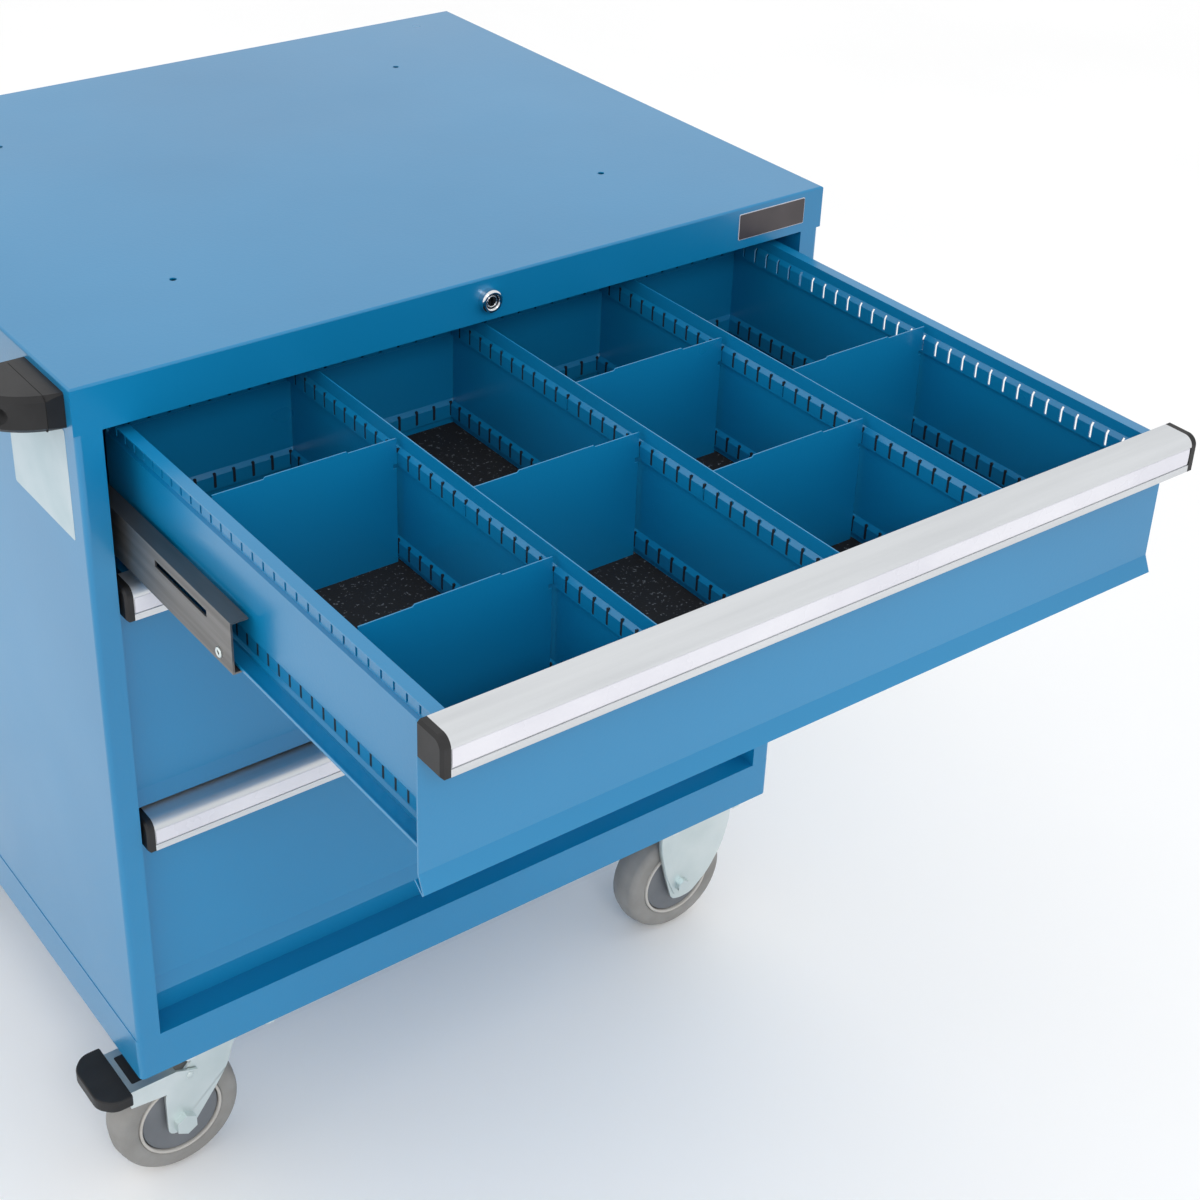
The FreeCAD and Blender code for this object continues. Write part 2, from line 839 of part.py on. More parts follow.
def handle_tube_centre():
    return -(cap_half_width + grip_tube_offset), cap_top - grip_drop - grip_height / 2


def grip_bracket():
    """Moulded elbow from the cap's side to the front end of the tube."""
    wall = -cap_half_width
    centre_x, centre_z = handle_tube_centre()
    socket_radius = grip_tube_radius + grip_socket_wall
    y0 = front_y + grip_setback
    y1 = y0 + grip_plate_length
    z0 = centre_z - grip_height / 2
    plate_x = wall - grip_plate_thickness
    tip_x = centre_x - socket_radius
    inner_x = centre_x + socket_radius
    mouth_y = y1 + grip_neck_length
    middle = FreeCAD.Vector(plate_x + (tip_x - plate_x) * 0.66, y0 + (mouth_y - y0) * 0.28, z0)
    start = FreeCAD.Vector(plate_x, y0, z0)
    end = FreeCAD.Vector(tip_x, mouth_y, z0)
    edges = [
        Part.LineSegment(FreeCAD.Vector(wall, y0, z0), start).toShape(),
        Part.Arc(start, middle, end).toShape(),
        Part.LineSegment(end, FreeCAD.Vector(inner_x, mouth_y, z0)).toShape(),
        Part.LineSegment(FreeCAD.Vector(inner_x, mouth_y, z0),
                         FreeCAD.Vector(inner_x, y1, z0)).toShape(),
        Part.LineSegment(FreeCAD.Vector(inner_x, y1, z0), FreeCAD.Vector(wall, y1, z0)).toShape(),
        Part.LineSegment(FreeCAD.Vector(wall, y1, z0), FreeCAD.Vector(wall, y0, z0)).toShape(),
    ]
    body = Part.Face(Part.Wire(edges)).extrude(Z_AXIS * grip_height)
    body = bevelled(body, grip_edge, lambda middle_point, edge:
                    edge.Curve.TypeId == "Part::GeomCircle")
    socket = rod(centre_x, mouth_y - grip_socket_depth, centre_z, Y_AXIS,
                 grip_tube_radius, grip_socket_depth + 1)
    screw_y = y0 - 1
    recess = rod(centre_x, screw_y, centre_z, Y_AXIS, grip_screw_recess,
                 mouth_y - grip_socket_depth - grip_screw_depth - screw_y)
    return body.cut([socket, recess])


def grip_tube():
    centre_x, centre_z = handle_tube_centre()
    end = back_y - grip_setback - grip_plate_length - grip_neck_length + grip_socket_depth
    outer = rod(centre_x, -end, centre_z, Y_AXIS, grip_tube_radius, 2 * end)
    bore = rod(centre_x, -end - 1, centre_z, Y_AXIS, grip_tube_radius - grip_tube_wall, 2 * end + 2)
    plug_length = grip_socket_depth
    plugs = [rod(centre_x, -end, centre_z, Y_AXIS, grip_tube_radius - grip_tube_wall / 2, plug_length),
             rod(centre_x, end - plug_length, centre_z, Y_AXIS,
                 grip_tube_radius - grip_tube_wall / 2, plug_length)]
    return joined([outer.cut(bore)] + plugs)


def grip_screw():
    """Hexagon head of the screw that holds the tube's front end in its elbow."""
    centre_x, centre_z = handle_tube_centre()
    seat_y = front_y + grip_setback + grip_plate_length + grip_neck_length \
        - grip_socket_depth - grip_screw_depth
    return hexagon(centre_x, centre_z, grip_screw_head_radius, seat_y - grip_screw_head,
                   grip_screw_head, 30)


# Casters: each is placed by the middle of its plate and the middle plane of its wheel

def caster_plate(x, y):
    """Top plate under the base."""
    hx = plate_length / 2
    hy = plate_width / 2
    plate = box(x - hx, x + hx, y - hy, y + hy, base_bottom - plate_thickness, base_bottom)
    return bevelled(plate, plate_corner, lambda middle, edge: abs(middle.x - x) > hx - 1
                    and abs(middle.y - y) > hy - 1)


def bolt_places(x, y):
    return [(x + sx * plate_bolt_spacing_x / 2, y + sy * plate_bolt_spacing_y / 2)
            for sx in (-1, 1) for sy in (-1, 1)]


def all_bolt_places():
    places = []
    for y in (caster_y_front, caster_y_back):
        places.extend(bolt_places(kingpin_x, y))
        places.extend(bolt_places(rigid_plate_x, y))
    return places


def plate_bolt(x, y):
    """Hexagon head under the plate."""
    corners = []
    for step in range(6):
        angle = math.radians(60 * step)
        corners.append((x + plate_bolt_head_radius * math.cos(angle),
                        y + plate_bolt_head_radius * math.sin(angle), 0))
    return prism(corners, "xy", base_bottom - plate_thickness - plate_bolt_head, plate_bolt_head)


def polygon_prism(sides, x, z, radius, y, length, turn):
    """Regular prism along Y, given by its corner radius."""
    corners = []
    for step in range(sides):
        angle = math.radians(360 * step / sides + turn)
        corners.append((x + radius * math.cos(angle), z + radius * math.sin(angle), 0))
    return prism(corners, "xz", y, length)


def hexagon(x, z, radius, y, height, turn):
    return polygon_prism(6, x, z, radius, y, height, turn)


def forked(leg_corners, crown, wheel_x, y):
    """Two legs and their crown, bored for the axle."""
    legs = [prism(leg_corners, "xz", y + fork_half_gap, fork_sheet),
            prism(leg_corners, "xz", y - fork_half_width, fork_sheet)]
    bore = rod(wheel_x, y - fork_half_width - 1, wheel_radius, Y_AXIS, axle_radius,
               2 * fork_half_width + 2)
    return joined([crown] + legs).cut(bore)


def swivel_fork(x, y):
    """Pressed fork that trails behind its kingpin."""
    wheel_x = x - caster_trail
    top = swivel_crown_top
    radius = swivel_crown_radius
    foot_z = wheel_radius - fork_foot
    leg = [
        (x - radius, top, 0),
        (x - radius, top - swivel_crown_depth, 0),
        (wheel_x - 16, 106, 0),
        (wheel_x - 16, foot_z, 9),
        (wheel_x + 8, foot_z, 7),
        (x - 6, 94, 0),
        (x + 2, 108, 0),
        (x + 10, 134, 0),
        (x + radius, top - 8, 0),
        (x + radius, top, 0),
    ]
    half = fork_half_width
    crown = box(x - radius, x + radius, y - half, y + half, top - fork_sheet, top)
    fork = forked(leg, crown, wheel_x, y)
    kingpin_bore = rod(x, y, top - fork_sheet - 1, Z_AXIS, kingpin_radius + axle_gap,
                       fork_sheet + 2)
    return fork.cut(kingpin_bore)


def swivel_plate(x, y):
    """Mounting plate with the ball race pressed under it."""
    z0 = base_bottom - plate_thickness - race_height
    race = rod(x, y, z0, Z_AXIS, race_radius, race_height)
    bore = rod(x, y, z0 - 1, Z_AXIS, kingpin_radius, race_height + plate_thickness + 2)
    return joined([caster_plate(x, y), race]).cut(bore)


def kingpin(x, y):
    """Bolt through plate, race and crown, with its nut under the crown."""
    low = swivel_crown_top - fork_sheet - running_gap
    nut_corners = []
    for step in range(6):
        angle = math.radians(60 * step)
        nut_corners.append((x + kingpin_head_radius * math.cos(angle),
                            y + kingpin_head_radius * math.sin(angle), 0))
    nut = prism(nut_corners, "xy", low - kingpin_head_height, kingpin_head_height)
    shank = rod(x, y, low - 1, Z_AXIS, kingpin_radius, base_bottom - low + 1)
    return joined([nut, shank])


def rigid_fork(y):
    """Fixed fork welded under its mounting plate, set off to one side of it."""
    x = rigid_plate_x
    wheel_x = rigid_wheel_x
    top = base_bottom - plate_thickness
    half = rigid_crown_half
    foot_z = wheel_radius - 19.5
    leg = [
        (x - half, top, 0),
        (x - half, top - rigid_crown_depth, 0),
        (wheel_x - 9, foot_z, 8),
        (wheel_x + 14, foot_z, 8),
        (wheel_x + 33, foot_z + 20, 0),
        (wheel_x + 50, foot_z + 46, 0),
        (x + half, top - 39, 0),
        (x + half, top, 0),
    ]
    crown = box(x - half, x + half, y - fork_half_width, y + fork_half_width,
                top - fork_sheet, top)
    return joined([forked(leg, crown, wheel_x, y), caster_plate(x, y)])


def axle(wheel_x, y, nut_radius):
    """Axle bolt with its head and nut."""
    half = fork_half_width
    pieces = [rod(wheel_x, y - half - 1, wheel_radius, Y_AXIS, axle_radius, 2 * half + 2)]
    for start in (y - half - axle_nut_height, y + half):
        pieces.append(hexagon(wheel_x, wheel_radius, nut_radius, start, axle_nut_height, 30))
    return joined(pieces)


def rim(wheel_x, y, half):
    """Outside of the core: flats all round keep the moulded tread from creeping."""
    return polygon_prism(rim_sides, wheel_x, wheel_radius, rim_radius, y - half, 2 * half, 0)


def tyre(wheel_x, y):
    """Soft tread moulded onto the rim."""
    half = tread_width / 2
    tread = rod(wheel_x, y - half, wheel_radius, Y_AXIS, wheel_radius, tread_width)
    return tread.cut(rim(wheel_x, y, half + 1))


def wheel_core(wheel_x, y):
    """Moulded core with the bore that runs on the axle."""
    half = rim_width / 2
    bore = rod(wheel_x, y - half - 1, wheel_radius, Y_AXIS, axle_radius + axle_gap, rim_width + 2)
    return rim(wheel_x, y, half).cut(bore)


# Brake lever of a swivel caster, given by its kingpin

def lever_pivot(x):
    wheel_x = x - caster_trail
    return wheel_x + lever_pivot_ahead, lever_top - lever_pivot_drop


def brake_lever(x, y):
    """Pressed channel astride the fork, with a window, side cheeks and a tongue for the pad."""
    wheel_x = x - caster_trail
    pivot_x, pivot_z = lever_pivot(x)
    inner = fork_half_width + lever_gap
    outer = inner + lever_sheet
    end_x = wheel_x - lever_end
    start_x = wheel_x - lever_shoulder
    low = lever_top - lever_skirt
    cheek = [
        (end_x, lever_top, 0),
        (end_x, low + 3, 0),
        (wheel_x - 20, low, 0),
        (pivot_x + 4, low, 0),
        (pivot_x + 8, low + 5, 0),
        (pivot_x + 8, lever_top - 8, 0),
        (start_x, lever_top, 0),
    ]
    top_corners = [(end_x, y - outer, 0), (start_x, y - outer, 0),
                   (start_x, y + outer, 0), (end_x, y + outer, 0)]
    top = prism(top_corners, "xy", lever_top - lever_sheet, lever_sheet)
    tongue = box(end_x - lever_tongue, end_x + 1, y - lever_tongue_half, y + lever_tongue_half,
                 lever_top - lever_sheet, lever_top)
    window_x = start_x - lever_window_inset - lever_window_reach
    window = box(window_x, window_x + lever_window_reach, y - lever_window_length / 2,
                 y + lever_window_length / 2, lever_top - lever_sheet - 1, lever_top + 1)
    pieces = [top, tongue]
    for side in (-1, 1):
        near = y + side * inner if side > 0 else y - outer
        pieces.append(prism(cheek, "xz", near, lever_sheet))
    return joined(pieces).cut(window)


def brake_pad(x, y):
    """Moulded foot pad pushed onto the lever's tongue."""
    end_x = x - caster_trail - lever_end
    low = lever_top - lever_sheet - pedal_below
    height = pedal_below + lever_sheet + pedal_above
    half = pedal_length / 2
    cut = pedal_corner
    corners = [
        (end_x, y - half),
        (end_x, y + half),
        (end_x - pedal_reach + cut, y + half),
        (end_x - pedal_reach, y + half - cut),
        (end_x - pedal_reach, y - half + cut),
        (end_x - pedal_reach + cut, y - half),
    ]
    pad = prism(square_corners(corners), "xy", low, height)
    pad = bevelled(pad, pedal_edge, lambda middle, edge: abs(middle.z - low - height) < 0.01)
    socket = box(end_x - lever_tongue, end_x + 1, y - lever_tongue_half, y + lever_tongue_half,
                 lever_top - lever_sheet, lever_top)
    return pad.cut(socket)


def save_body():
    side = side_panel()
    save([side], "right_side")
    save([mirrored_x(side)], "left_side")
    save([top_cap()], "cap")
    save([back_panel()], "back_panel")
    save([floor_panel()], "floor_panel")
    save([bottom_rail()], "bottom_rail")
    save([base_tray()], "base")


def save_lock():
    save([lock_housing()], "lock_housing")
    save([lock_guide(z) for z in guide_levels()], "lock_guides")
    save([lock_plug()], "lock_plug")
    save([lock_rod()], "lock_rod")
    save([lock_bar()], "lock_bar")


def save_push_handle():
    bracket = grip_bracket()
    screw = grip_screw()
    save([bracket, mirrored_y(bracket)], "handle_brackets")
    save([screw, mirrored_y(screw)], "handle_screws")
    save([grip_tube()], "handle_tube")


def save_casters():
    ends = (("front", caster_y_front), ("back", caster_y_back))
    save([swivel_plate(kingpin_x, y) for name, y in ends], "swivel_plates")
    save([kingpin(kingpin_x, y) for name, y in ends], "kingpins")
    save([rigid_fork(y) for name, y in ends], "rigid_forks")
    save([axle(rigid_wheel_x, y, rigid_nut_radius) for name, y in ends], "rigid_axles")
    save([plate_bolt(x, y) for x, y in all_bolt_places()], "caster_bolts")
    swivel_wheel = kingpin_x - caster_trail
    for name, y in ends:
        save([swivel_fork(kingpin_x, y)], "swivel_fork_" + name)
        save([axle(swivel_wheel, y, swivel_nut_radius)], "swivel_axle_" + name)
        save([brake_lever(kingpin_x, y)], "brake_lever_" + name)
        save([brake_pad(kingpin_x, y)], "brake_pad_" + name)
        for side, wheel_x in (("left", swivel_wheel), ("right", rigid_wheel_x)):
            save([tyre(wheel_x, y)], "tyre_" + side + "_" + name)
            save([wheel_core(wheel_x, y)], "core_" + side + "_" + name)


def save_drawers():
    rails = []
    for number, (bottom, top) in enumerate(front_levels(), 1):
        name = "_" + str(number)
        out = drawer_travel if number == 1 else 0
        end = handle_end(top)
        strip = runner(bottom)
        slide = mid_slide(bottom)
        rail = fixed_rail(bottom)
        rails.extend([rail, mirrored_x(rail)])
        save([moved(drawer_tray(bottom, top, number == 1), y=-out)], "drawer_tray" + name)
        save([moved(drawer_front(bottom, top), y=-out)], "drawer_front" + name)
        save([moved(handle_bar(top), y=-out)], "drawer_handle" + name)
        save([moved(p, y=-out) for p in (end, mirrored_x(end))], "handle_ends" + name)
        save([moved(p, y=-out) for p in (strip, mirrored_x(strip))], "drawer_runners" + name)
        save([moved(p, y=-out / 2) for p in (slide, mirrored_x(slide))], "mid_slides" + name)
    save(rails, "fixed_rails")


def save_compartments():
    bottom, top = front_levels()[0]
    lines = [cross_slot_pitch * shift for shift in partition_slots]
    partitions = [partition(x, bottom, top) for x in lines]
    sides = side_slot_positions()
    dividers = []
    for walls, slots in zip(top_drawer_walls(lines), divider_slots):
        for slot in slots:
            dividers.append(divider(walls[0], walls[1], sides[slot], bottom, top))
    out = -drawer_travel
    save([moved(p, y=out) for p in partitions], "drawer_partitions")
    save([moved(p, y=out) for p in dividers], "drawer_dividers")
    save([moved(mat(bottom), y=out)], "drawer_mat")


def main():
    os.makedirs("parts", exist_ok=True)
    save_body()
    save_lock()
    save_push_handle()
    save_casters()
    save_drawers()
    save_compartments()


main()
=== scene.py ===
import bpy
import bmesh
import math
from mathutils import Matrix, Vector


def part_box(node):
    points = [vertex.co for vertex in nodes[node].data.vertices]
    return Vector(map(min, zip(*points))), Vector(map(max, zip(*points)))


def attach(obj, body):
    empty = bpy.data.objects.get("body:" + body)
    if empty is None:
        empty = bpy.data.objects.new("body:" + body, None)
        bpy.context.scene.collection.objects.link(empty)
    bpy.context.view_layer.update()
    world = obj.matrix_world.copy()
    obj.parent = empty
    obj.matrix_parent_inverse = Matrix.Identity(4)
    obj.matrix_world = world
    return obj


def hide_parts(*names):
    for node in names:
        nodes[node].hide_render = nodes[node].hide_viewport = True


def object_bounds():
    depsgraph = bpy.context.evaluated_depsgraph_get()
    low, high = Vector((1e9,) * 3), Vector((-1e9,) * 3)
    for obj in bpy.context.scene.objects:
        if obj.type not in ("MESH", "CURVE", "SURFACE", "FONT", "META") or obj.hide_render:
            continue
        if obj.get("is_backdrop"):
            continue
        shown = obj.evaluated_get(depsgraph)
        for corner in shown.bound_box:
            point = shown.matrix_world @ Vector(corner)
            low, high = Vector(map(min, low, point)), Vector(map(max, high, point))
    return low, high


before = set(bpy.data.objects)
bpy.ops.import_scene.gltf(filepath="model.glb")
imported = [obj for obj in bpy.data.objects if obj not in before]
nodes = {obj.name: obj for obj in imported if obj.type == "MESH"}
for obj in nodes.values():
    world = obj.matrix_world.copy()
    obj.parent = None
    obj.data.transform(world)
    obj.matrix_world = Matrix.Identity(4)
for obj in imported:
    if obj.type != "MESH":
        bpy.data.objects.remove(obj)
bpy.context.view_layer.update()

# Cabinet body: cap, side sheets, back, rail and base, folded from steel sheet and powder coated
# in one gloss blue. The coat has a fine orange peel and a little drift in its colour.


def new_material(name, roughness, metallic=0.0):
    """Material and its shader, with the values that are the same all over the surface."""
    material = bpy.data.materials.new(name)
    material.use_nodes = True
    shader = material.node_tree.nodes["Principled BSDF"]
    shader.inputs["Roughness"].default_value = roughness
    shader.inputs["Metallic"].default_value = metallic
    return material, shader


def add_node(material, kind, **inputs):
    node = material.node_tree.nodes.new(kind)
    for name, value in inputs.items():
        node.inputs[name.replace("_", " ")].default_value = value
    return node


def place_texture(material, stretch=(1, 1, 1)):
    """Object coordinates in metres, stretched along the axes."""
    coordinates = add_node(material, "ShaderNodeTexCoord")
    mapping = add_node(material, "ShaderNodeMapping", Scale=stretch)
    material.node_tree.links.new(coordinates.outputs["Object"], mapping.inputs["Vector"])
    return mapping.outputs["Vector"]


def noise_colour(material, shader, dark, light, scale, stretch=(1, 1, 1), low=0.35, high=0.65):
    """Base colour that drifts between two tones."""
    links = material.node_tree.links
    noise = add_node(material, "ShaderNodeTexNoise", Scale=scale, Detail=4.0)
    links.new(place_texture(material, stretch), noise.inputs["Vector"])
    ramp = add_node(material, "ShaderNodeValToRGB")
    ramp.color_ramp.elements[0].position = low
    ramp.color_ramp.elements[1].position = high
    ramp.color_ramp.elements[0].color = (*dark, 1)
    ramp.color_ramp.elements[1].color = (*light, 1)
    links.new(noise.outputs["Fac"], ramp.inputs["Fac"])
    links.new(ramp.outputs["Color"], shader.inputs["Base Color"])


def noise_roughness(material, shader, low, high, scale, stretch=(1, 1, 1)):
    """Gloss that drifts between two values, as on a handled or pressed surface."""
    links = material.node_tree.links
    noise = add_node(material, "ShaderNodeTexNoise", Scale=scale, Detail=3.0)
    links.new(place_texture(material, stretch), noise.inputs["Vector"])
    spread = add_node(material, "ShaderNodeMapRange", To_Min=low, To_Max=high)
    links.new(noise.outputs["Fac"], spread.inputs["Value"])
    links.new(spread.outputs["Result"], shader.inputs["Roughness"])


def noise_bump(material, shader, scale, height, stretch=(1, 1, 1)):
    """Fine grain of the given height in metres."""
    links = material.node_tree.links
    noise = add_node(material, "ShaderNodeTexNoise", Scale=scale, Detail=2.0)
    links.new(place_texture(material, stretch), noise.inputs["Vector"])
    bump = add_node(material, "ShaderNodeBump", Strength=1.0, Distance=height)
    links.new(noise.outputs["Fac"], bump.inputs["Height"])
    links.new(bump.outputs["Normal"], shader.inputs["Normal"])


def paint(material, *names):
    """One finish on whole CAD nodes."""
    for name in names:
        for slot in nodes[name].material_slots:
            slot.material = material


def soften(width, segments, *names):
    """Small rounding of a CAD node's folded edges, so that they catch the light."""
    for name in names:
        bevel = nodes[name].modifiers.new("soft_edges", "BEVEL")
        bevel.width = width
        bevel.segments = segments
        bevel.limit_method = "ANGLE"
        bevel.angle_limit = math.radians(50)
        bevel.harden_normals = False


blue_coat, blue_shader = new_material("blue_powder_coat", 0.3)
noise_colour(blue_coat, blue_shader, (0.0026, 0.190, 0.405), (0.0034, 0.215, 0.45), 2.5)
noise_roughness(blue_coat, blue_shader, 0.24, 0.36, 6.0)
noise_bump(blue_coat, blue_shader, 420.0, 0.00006)
blue_shader.inputs["Coat Weight"].default_value = 0.28
blue_shader.inputs["Coat Roughness"].default_value = 0.16
blue_shader.inputs["Specular IOR Level"].default_value = 0.5
paint(blue_coat, "cap", "left_side", "right_side", "back_panel", "floor_panel", "bottom_rail",
      "base")
fold_radius = 0.0006
soften(fold_radius, 2, "left_side", "right_side", "bottom_rail", "back_panel")

# Central lock in the middle of the cap's front: chromed bezel and plug, turned and polished,
# held by a nut behind the sheet. Rod, bar and guides behind it are plain zinc-plated steel.
plug_edge = 0.0004
chrome, chrome_shader = new_material("polished_chrome", 0.09, 1.0)
noise_colour(chrome, chrome_shader, (0.72, 0.73, 0.75), (0.82, 0.83, 0.85), 40.0)
noise_roughness(chrome, chrome_shader, 0.06, 0.14, 90.0)
zinc, zinc_shader = new_material("zinc_plated_steel", 0.32, 0.85)
noise_colour(zinc, zinc_shader, (0.60, 0.68, 0.68), (0.72, 0.78, 0.78), 14.0)
noise_roughness(zinc, zinc_shader, 0.28, 0.44, 30.0)
noise_bump(zinc, zinc_shader, 300.0, 0.00003)
plug_metal, plug_shader = new_material("black_chromed_plug", 0.22, 0.5)
noise_colour(plug_metal, plug_shader, (0.012, 0.012, 0.013), (0.03, 0.03, 0.032), 300.0)
noise_roughness(plug_metal, plug_shader, 0.16, 0.3, 200.0)
paint(chrome, "lock_housing", "handle_screws")
paint(plug_metal, "lock_plug")
paint(zinc, "lock_rod", "lock_bar", "lock_guides")
soften(plug_edge, 2, "lock_plug")

# Telescopic slides: pressed steel channels in a dark nickel finish that shows faint marks along
# the pressing direction, with a bright eyelet near the front end of each middle channel.
channel_fold = 0.0005
channel_face = 0.328
eyelet_from_front = 0.020
eyelet_from_bottom = 0.008
slide_steel, slide_shader = new_material("dark_nickel_steel", 0.38, 0.8)
noise_colour(slide_steel, slide_shader, (0.13, 0.125, 0.12), (0.21, 0.205, 0.20), 30.0,
             (1, 0.15, 4))
noise_roughness(slide_steel, slide_shader, 0.3, 0.46, 60.0, (1, 0.1, 5))
noise_bump(slide_steel, slide_shader, 200.0, 0.00004, (1, 0.1, 4))
paint(slide_steel, "fixed_rails")


def add_object(name, mesh, material, body, smooth=False):
    """Piece of the scene that rides on one of the cabinet's bodies."""
    piece = bpy.data.objects.new(name, mesh)
    bpy.context.scene.collection.objects.link(piece)
    mesh.materials.append(material)
    for polygon in mesh.polygons:
        polygon.use_smooth = smooth
    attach(piece, body)
    return piece


def closed_mesh(name, points, faces):
    """Mesh whose faces meet at shared points and face outwards."""
    mesh = bpy.data.meshes.new(name)
    mesh.from_pydata(points, [], faces)
    shape = bmesh.new()
    shape.from_mesh(mesh)
    bmesh.ops.remove_doubles(shape, verts=shape.verts, dist=0.000001)
    bmesh.ops.recalc_face_normals(shape, faces=shape.faces)
    shape.to_mesh(mesh)
    shape.free()
    return mesh


def spun(name, profile, centre, axis="y", steps=96):
    """Ring spun round an axis from the (radius, along) points of a closed profile."""
    points = []
    faces = []
    count = len(profile)
    for step in range(steps):
        angle = 2 * math.pi * step / steps
        for radius, along in profile:
            a, b = radius * math.sin(angle), radius * math.cos(angle)
            offset = {"x": (along, a, b), "y": (a, along, b), "z": (a, b, along)}[axis]
            points.append([place + move for place, move in zip(centre, offset)])
        for index in range(count):
            here = step * count
            there = (step + 1) % steps * count
            after = (index + 1) % count
            faces.append((here + index, here + after, there + after, there + index))
    return closed_mesh(name, points, faces)


for number in ("1", "2", "3"):
    paint(slide_steel, "mid_slides_" + number)
    soften(channel_fold, 2, "mid_slides_" + number)
    low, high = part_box("mid_slides_" + number)
    eyelet_y = low[1] + eyelet_from_front
    eyelet_z = low[2] + eyelet_from_bottom
    for side, side_name in ((-1, "left"), (1, "right")):
        eyelet = [(0.0018, 0.0), (0.0018, side * 0.0008), (0.0025, side * 0.0013),
                  (0.0037, side * 0.0011), (0.0045, 0.0)]
        name = "slide_eyelet_" + side_name + "_" + number
        ring = spun(name, eyelet, (side * channel_face, eyelet_y, eyelet_z), "x", 32)
        add_object(name, ring, zinc, "slide_" + number, smooth=True)

# Lock face: the bezel's rolled lip lies on the cap's front, and a bright ring is pressed round
# the keyway. Both are turned and chromed, and the ring turns with the plug.
low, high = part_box("lock_housing")
middle = ((low[0] + high[0]) / 2, low[1], (low[2] + high[2]) / 2)
lip = [(0.0062, 0.0), (0.0063, -0.0005), (0.0069, -0.0011), (0.0078, -0.0013), (0.0088, -0.0010),
       (0.0096, -0.0002), (0.0098, 0.0012), (0.0096, 0.0020), (0.0062, 0.0010)]
add_object("lock_lip", spun("lock_lip", lip, middle, "y", 64), chrome, "cabinet", smooth=True)
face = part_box("lock_plug")[0][1]
ring = [(0.0040, 0.0004), (0.0041, -0.0003), (0.0046, -0.0005), (0.0051, -0.0003),
        (0.0052, 0.0004)]
key_ring = spun("keyway_ring", ring, (middle[0], face, middle[2]), "y", 48)
add_object("keyway_ring", key_ring, chrome, "lock_cylinder", smooth=True)

# Drawers: trays and fronts in the same blue, folded and welded. A flange along both lower edges
# of each tray runs in the slides. The top drawer has a mat of black rubber flecked with grey.
front_fold = 0.0005
wall_outside = 0.3104
flange_above_bottom = 0.0004
flange_from_front = 0.0015
flange_edge = 0.3225
flange_lip_inside = 0.3213
flange_sheet = 0.0012
flange_lip_height = 0.003
glide_inside = 0.3118
glide_length = 0.044
glide_from_back = 0.006
for number in ("1", "2", "3"):
    paint(blue_coat, "drawer_tray_" + number, "drawer_front_" + number)
    soften(front_fold, 2, "drawer_front_" + number)
paint(blue_coat, "drawer_partitions", "drawer_dividers")
black_mat, mat_shader = new_material("flecked_rubber_mat", 0.8)
noise_colour(black_mat, mat_shader, (0.008, 0.008, 0.009), (0.16, 0.17, 0.18), 420.0,
             low=0.62, high=0.7)
noise_bump(black_mat, mat_shader, 700.0, 0.0002)
paint(black_mat, "drawer_mat")


def extruded(name, solids):
    """Closed solids: each an outline of (a, b) points drawn from start to end along an axis."""
    points = []
    faces = []
    for outline, axis, start, end in solids:
        first = len(points)
        count = len(outline)
        for c in (start, end):
            for a, b in outline:
                points.append({"x": (c, a, b), "y": (a, c, b), "z": (a, b, c)}[axis])
        faces.append(tuple(range(first, first + count)))
        faces.append(tuple(range(first + 2 * count - 1, first + count - 1, -1)))
        for index in range(count):
            here = first + index
            after = first + (index + 1) % count
            faces.append((here, here + count, after + count, after))
    return closed_mesh(name, points, faces)


def eased(corners, steps=4):
    """Outline from (a, b, reach) corners, each rounded by a curve that starts reach before it."""
    outline = []
    for index, (a, b, reach) in enumerate(corners):
        here = Vector((a, b))
        before = Vector(corners[index - 1][:2])
        after = Vector(corners[(index + 1) % len(corners)][:2])
        start = here + (before - here).normalized() * reach
        end = here + (after - here).normalized() * reach
        for step in range(steps + 1):
            t = step / steps
            outline.append(tuple(start * (1 - t) ** 2 + here * 2 * t * (1 - t) + end * t * t))
    return outline


def eased_box(a0, a1, b0, b1, reach, steps=2):
    """Rectangle from (a0, b0) to (a1, b1) with rounded corners."""
    corners = [(a0, b0, reach), (a1, b0, reach), (a1, b1, reach), (a0, b1, reach)]
    return eased(corners, steps)


glide_plastic, glide_shader = new_material("black_glide_plastic", 0.4)
noise_colour(glide_plastic, glide_shader, (0.010, 0.010, 0.011), (0.020, 0.020, 0.021), 30.0)
noise_bump(glide_plastic, glide_shader, 800.0, 0.00004)
for number in ("1", "2", "3"):
    low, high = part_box("drawer_runners_" + number)
    shelf = low[2] + flange_above_bottom
    glide_back = high[1] - glide_from_back
    flanges = []
    blocks = []
    for side in (-1, 1):
        wall, edge, lip = (side * x for x in (wall_outside, flange_edge, flange_lip_inside))
        profile = eased([(wall, shelf, 0.0001), (edge, shelf, 0.0006),
                         (edge, shelf + flange_lip_height, 0.0003),
                         (lip, shelf + flange_lip_height, 0.0003),
                         (lip, shelf + flange_sheet, 0.0003),
                         (wall, shelf + flange_sheet, 0.0001)], 2)
        flanges.append((profile, "y", low[1] + flange_from_front, high[1]))
        start, end = sorted((side * glide_inside, side * high[0]))
        block = eased_box(start, end, low[2], high[2], 0.002)
        blocks.append((block, "y", glide_back - glide_length, glide_back))
    name = "tray_flanges_" + number
    flange = add_object(name, extruded(name, flanges), blue_coat, "drawer_" + number)
    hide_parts("drawer_runners_" + number)
    name = "tray_glides_" + number
    add_object(name, extruded(name, blocks), glide_plastic, "drawer_" + number)

